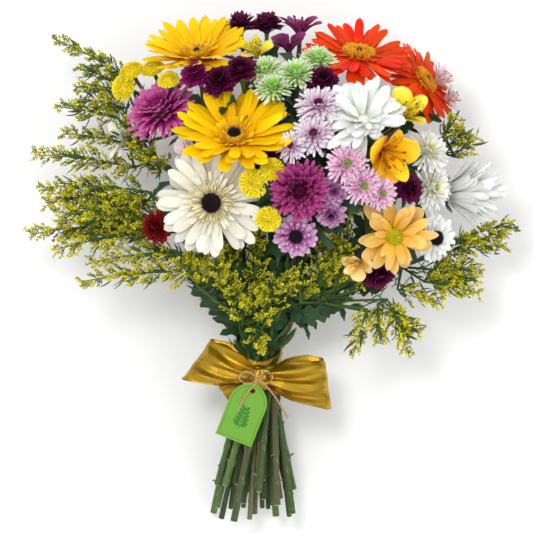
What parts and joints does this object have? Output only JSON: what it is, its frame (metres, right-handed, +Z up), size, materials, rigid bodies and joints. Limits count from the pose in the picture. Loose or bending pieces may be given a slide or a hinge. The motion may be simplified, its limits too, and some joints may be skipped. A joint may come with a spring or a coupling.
{
  "type": "hand-tied flower bouquet",
  "caption": "Hand-tied bouquet of mixed cut flowers with long bare stems, a satin ribbon bow, a jute string and a plain arched tag, lying on its back.",
  "frame": {"origin": "middle of the footprint, on the surface that the bouquet lies on", "axes": "+Y along the bouquet from the cut stem ends to the flowers, +X to the right of its face, +Z up out of its face"},
  "size_m": [0.392, 0.411, 0.2059],
  "materials": {
    "green": "matte",
    "yellow": "matte",
    "black": "matte",
    "white": "matte",
    "magenta": "matte",
    "wine": "matte",
    "pink": "matte",
    "lilac": "matte",
    "peach": "matte",
    "lemon": "matte",
    "orange": "matte",
    "butter": "matte",
    "blush": "matte",
    "burgundy": "matte",
    "red": "matte",
    "lime": "matte",
    "purple": "matte",
    "cream": "matte",
    "goldenrod": "matte",
    "satin": "satin",
    "jute": "matte",
    "card": "matte"
  },
  "bodies": {
    "root": {"stems": "green", "gerbera_yellow_front": "yellow", "gerbera_yellow_front_disc": "black", "gerbera_white": "white", "gerbera_white_disc": "black", "mum_magenta_front": "magenta", "mum_magenta_small": "magenta", "mum_magenta_left": "magenta", "mum_wine_left": "wine", "back_mum_magenta": "magenta", "mums_pink_upper": "pink", "mums_pink_lower": "pink", "back_mum_pink": "pink", "mum_white_large": "white", "mum_white_side": "white", "mums_white_pair": "white", "back_mum_white": "white", "mums_lilac": "lilac", "anemone_mum_lilac": "lilac", "anemone_mum_lilac_disc": "black", "daisy_mum_peach": "peach", "daisy_mum_peach_disc": "lemon", "anemone_mum_white": "white", "anemone_mum_white_disc": "black", "lily_orange": "orange", "lily_peach_low": "peach", "lily_yellow": "butter", "lilies_blush": "blush", "buttons_front": "lemon", "button_low": "lemon", "buttons_left": "lemon", "button_upper": "lemon", "back_mum_yellow": "yellow", "mum_burgundy_low": "burgundy", "mum_burgundy_side": "burgundy", "gerbera_yellow_back": "yellow", "gerbera_yellow_back_disc": "black", "gerbera_red_back": "red", "gerbera_red_back_disc": "black", "gerbera_red_side": "red", "gerbera_red_side_disc": "black", "mums_green": "lime", "mums_burgundy_mid": "burgundy", "mum_burgundy_right": "burgundy", "mums_burgundy_top": "burgundy", "lilies_purple": "purple", "lily_lemon": "butter", "lily_cream_left": "cream", "lily_dusty": "blush", "goldenrod_left_upper": "goldenrod", "goldenrod_left_lower": "goldenrod", "goldenrod_front_left": "goldenrod", "goldenrod_front_right": "goldenrod", "goldenrod_back": "goldenrod", "goldenrod_right": "goldenrod", "goldenrod_right_top": "goldenrod", "ribbon_wrap": "satin", "ribbon_bow": "satin", "twine": "jute", "tag": "card"}
  },
  "joints": []
}
